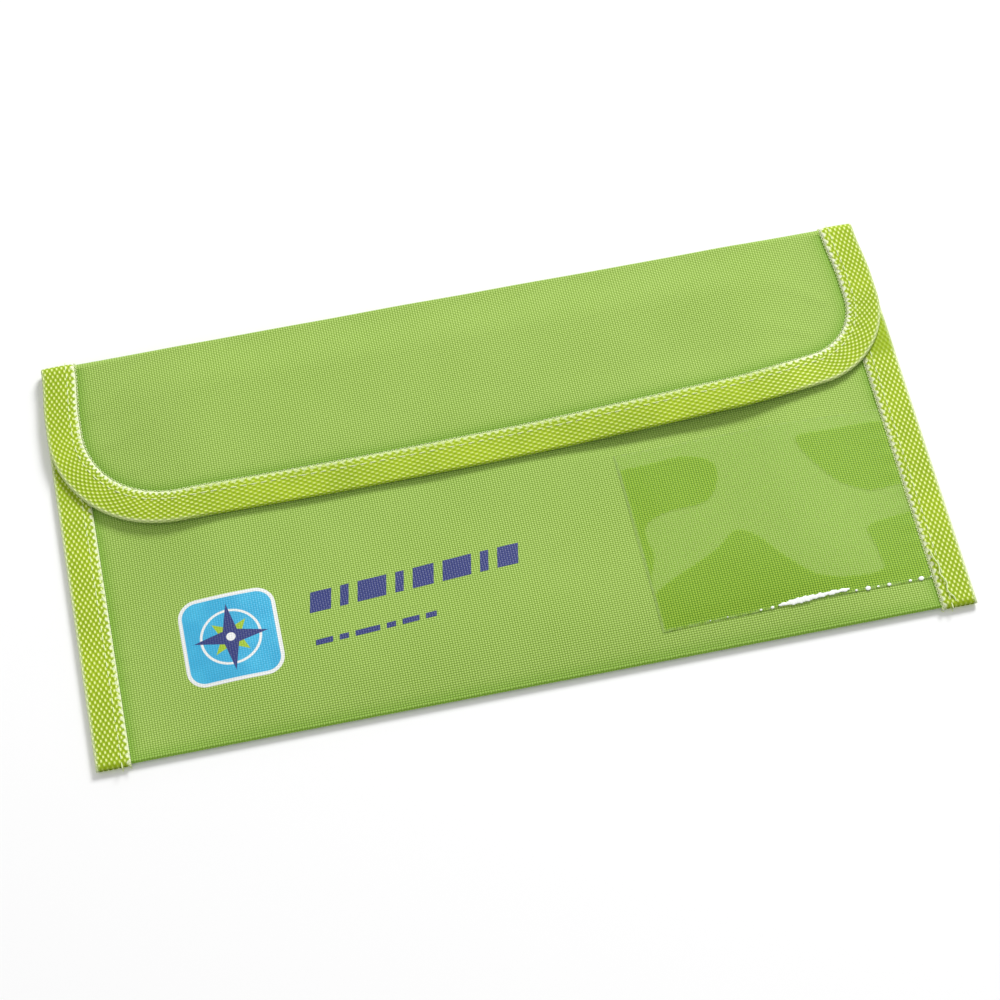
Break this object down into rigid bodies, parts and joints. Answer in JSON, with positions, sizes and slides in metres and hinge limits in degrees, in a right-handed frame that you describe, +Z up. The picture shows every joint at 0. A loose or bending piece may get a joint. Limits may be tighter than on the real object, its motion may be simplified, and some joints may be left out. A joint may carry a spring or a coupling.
{
  "type": "passport holder wallet",
  "caption": "Flat travel document wallet in coated cloth with tape-bound edges, a folding flap with a hook-and-loop closure, and a clear window pocket on the front.",
  "frame": {"origin": "centre of the closed wallet's footprint, on the surface that it lies on", "axes": "+X along the width, from the left side seam to the right one, with the flap on top and its fold away from the reader; +Y towards the top fold; +Z up, out of the front"},
  "size_m": [0.225, 0.12, 0.008],
  "materials": {
    "outer_cloth": "plain-woven coated polyester, apple green",
    "binding_tape": "ribbed woven binding tape, lime with pale yellow floats",
    "lining": "light smooth woven lining, green",
    "thread": "polyester sewing thread, pale lime",
    "lining_thread": "polyester sewing thread, green",
    "clear_film": "clear soft film, glossy",
    "film_weld": "pressed weld line in clear film",
    "hook_fastener": "nylon hook tape, green",
    "loop_fastener": "brushed nylon loop tape, green",
    "print_ink": "screen-printed ink"
  },
  "bodies": {
    "pouch": {"back_panel": "outer_cloth", "bottom_fold": "outer_cloth", "front_panel": "outer_cloth", "mouth_binding": "binding_tape", "left_side_binding": "binding_tape", "right_side_binding": "binding_tape", "divider": "lining", "passport_pocket": "lining", "card_pocket": "lining", "window_film": "clear_film", "window_weld": "film_weld", "badge_print": "print_ink", "line_print": "print_ink", "loop_patch": "loop_fastener", "left_side_thread": "thread", "right_side_thread": "thread", "mouth_thread": "thread", "pocket_threads": "lining_thread"},
    "spine": {"top_fold": "outer_cloth", "left_fold_binding": "binding_tape", "right_fold_binding": "binding_tape", "left_fold_thread": "thread", "right_fold_thread": "thread"},
    "flap": {"flap_panel": "outer_cloth", "flap_binding": "binding_tape", "flap_thread": "thread", "hook_patch": "hook_fastener"}
  },
  "joints": [
    {"name": "flap_fold_lower", "type": "hinge", "parent": "pouch", "child": "spine", "pos_m": [0, 0.05882, 0.00118], "axis": [-1, 0, 0], "range_deg": [0, 90]},
    {"name": "flap_fold_upper", "type": "hinge", "parent": "spine", "child": "flap", "pos_m": [0, 0.05882, 0.00682], "axis": [-1, 0, 0], "range_deg": [0, 90]}
  ],
  "couplings": [
    {"joint": "flap_fold_upper", "follows": "flap_fold_lower", "ratio": 1}
  ]
}
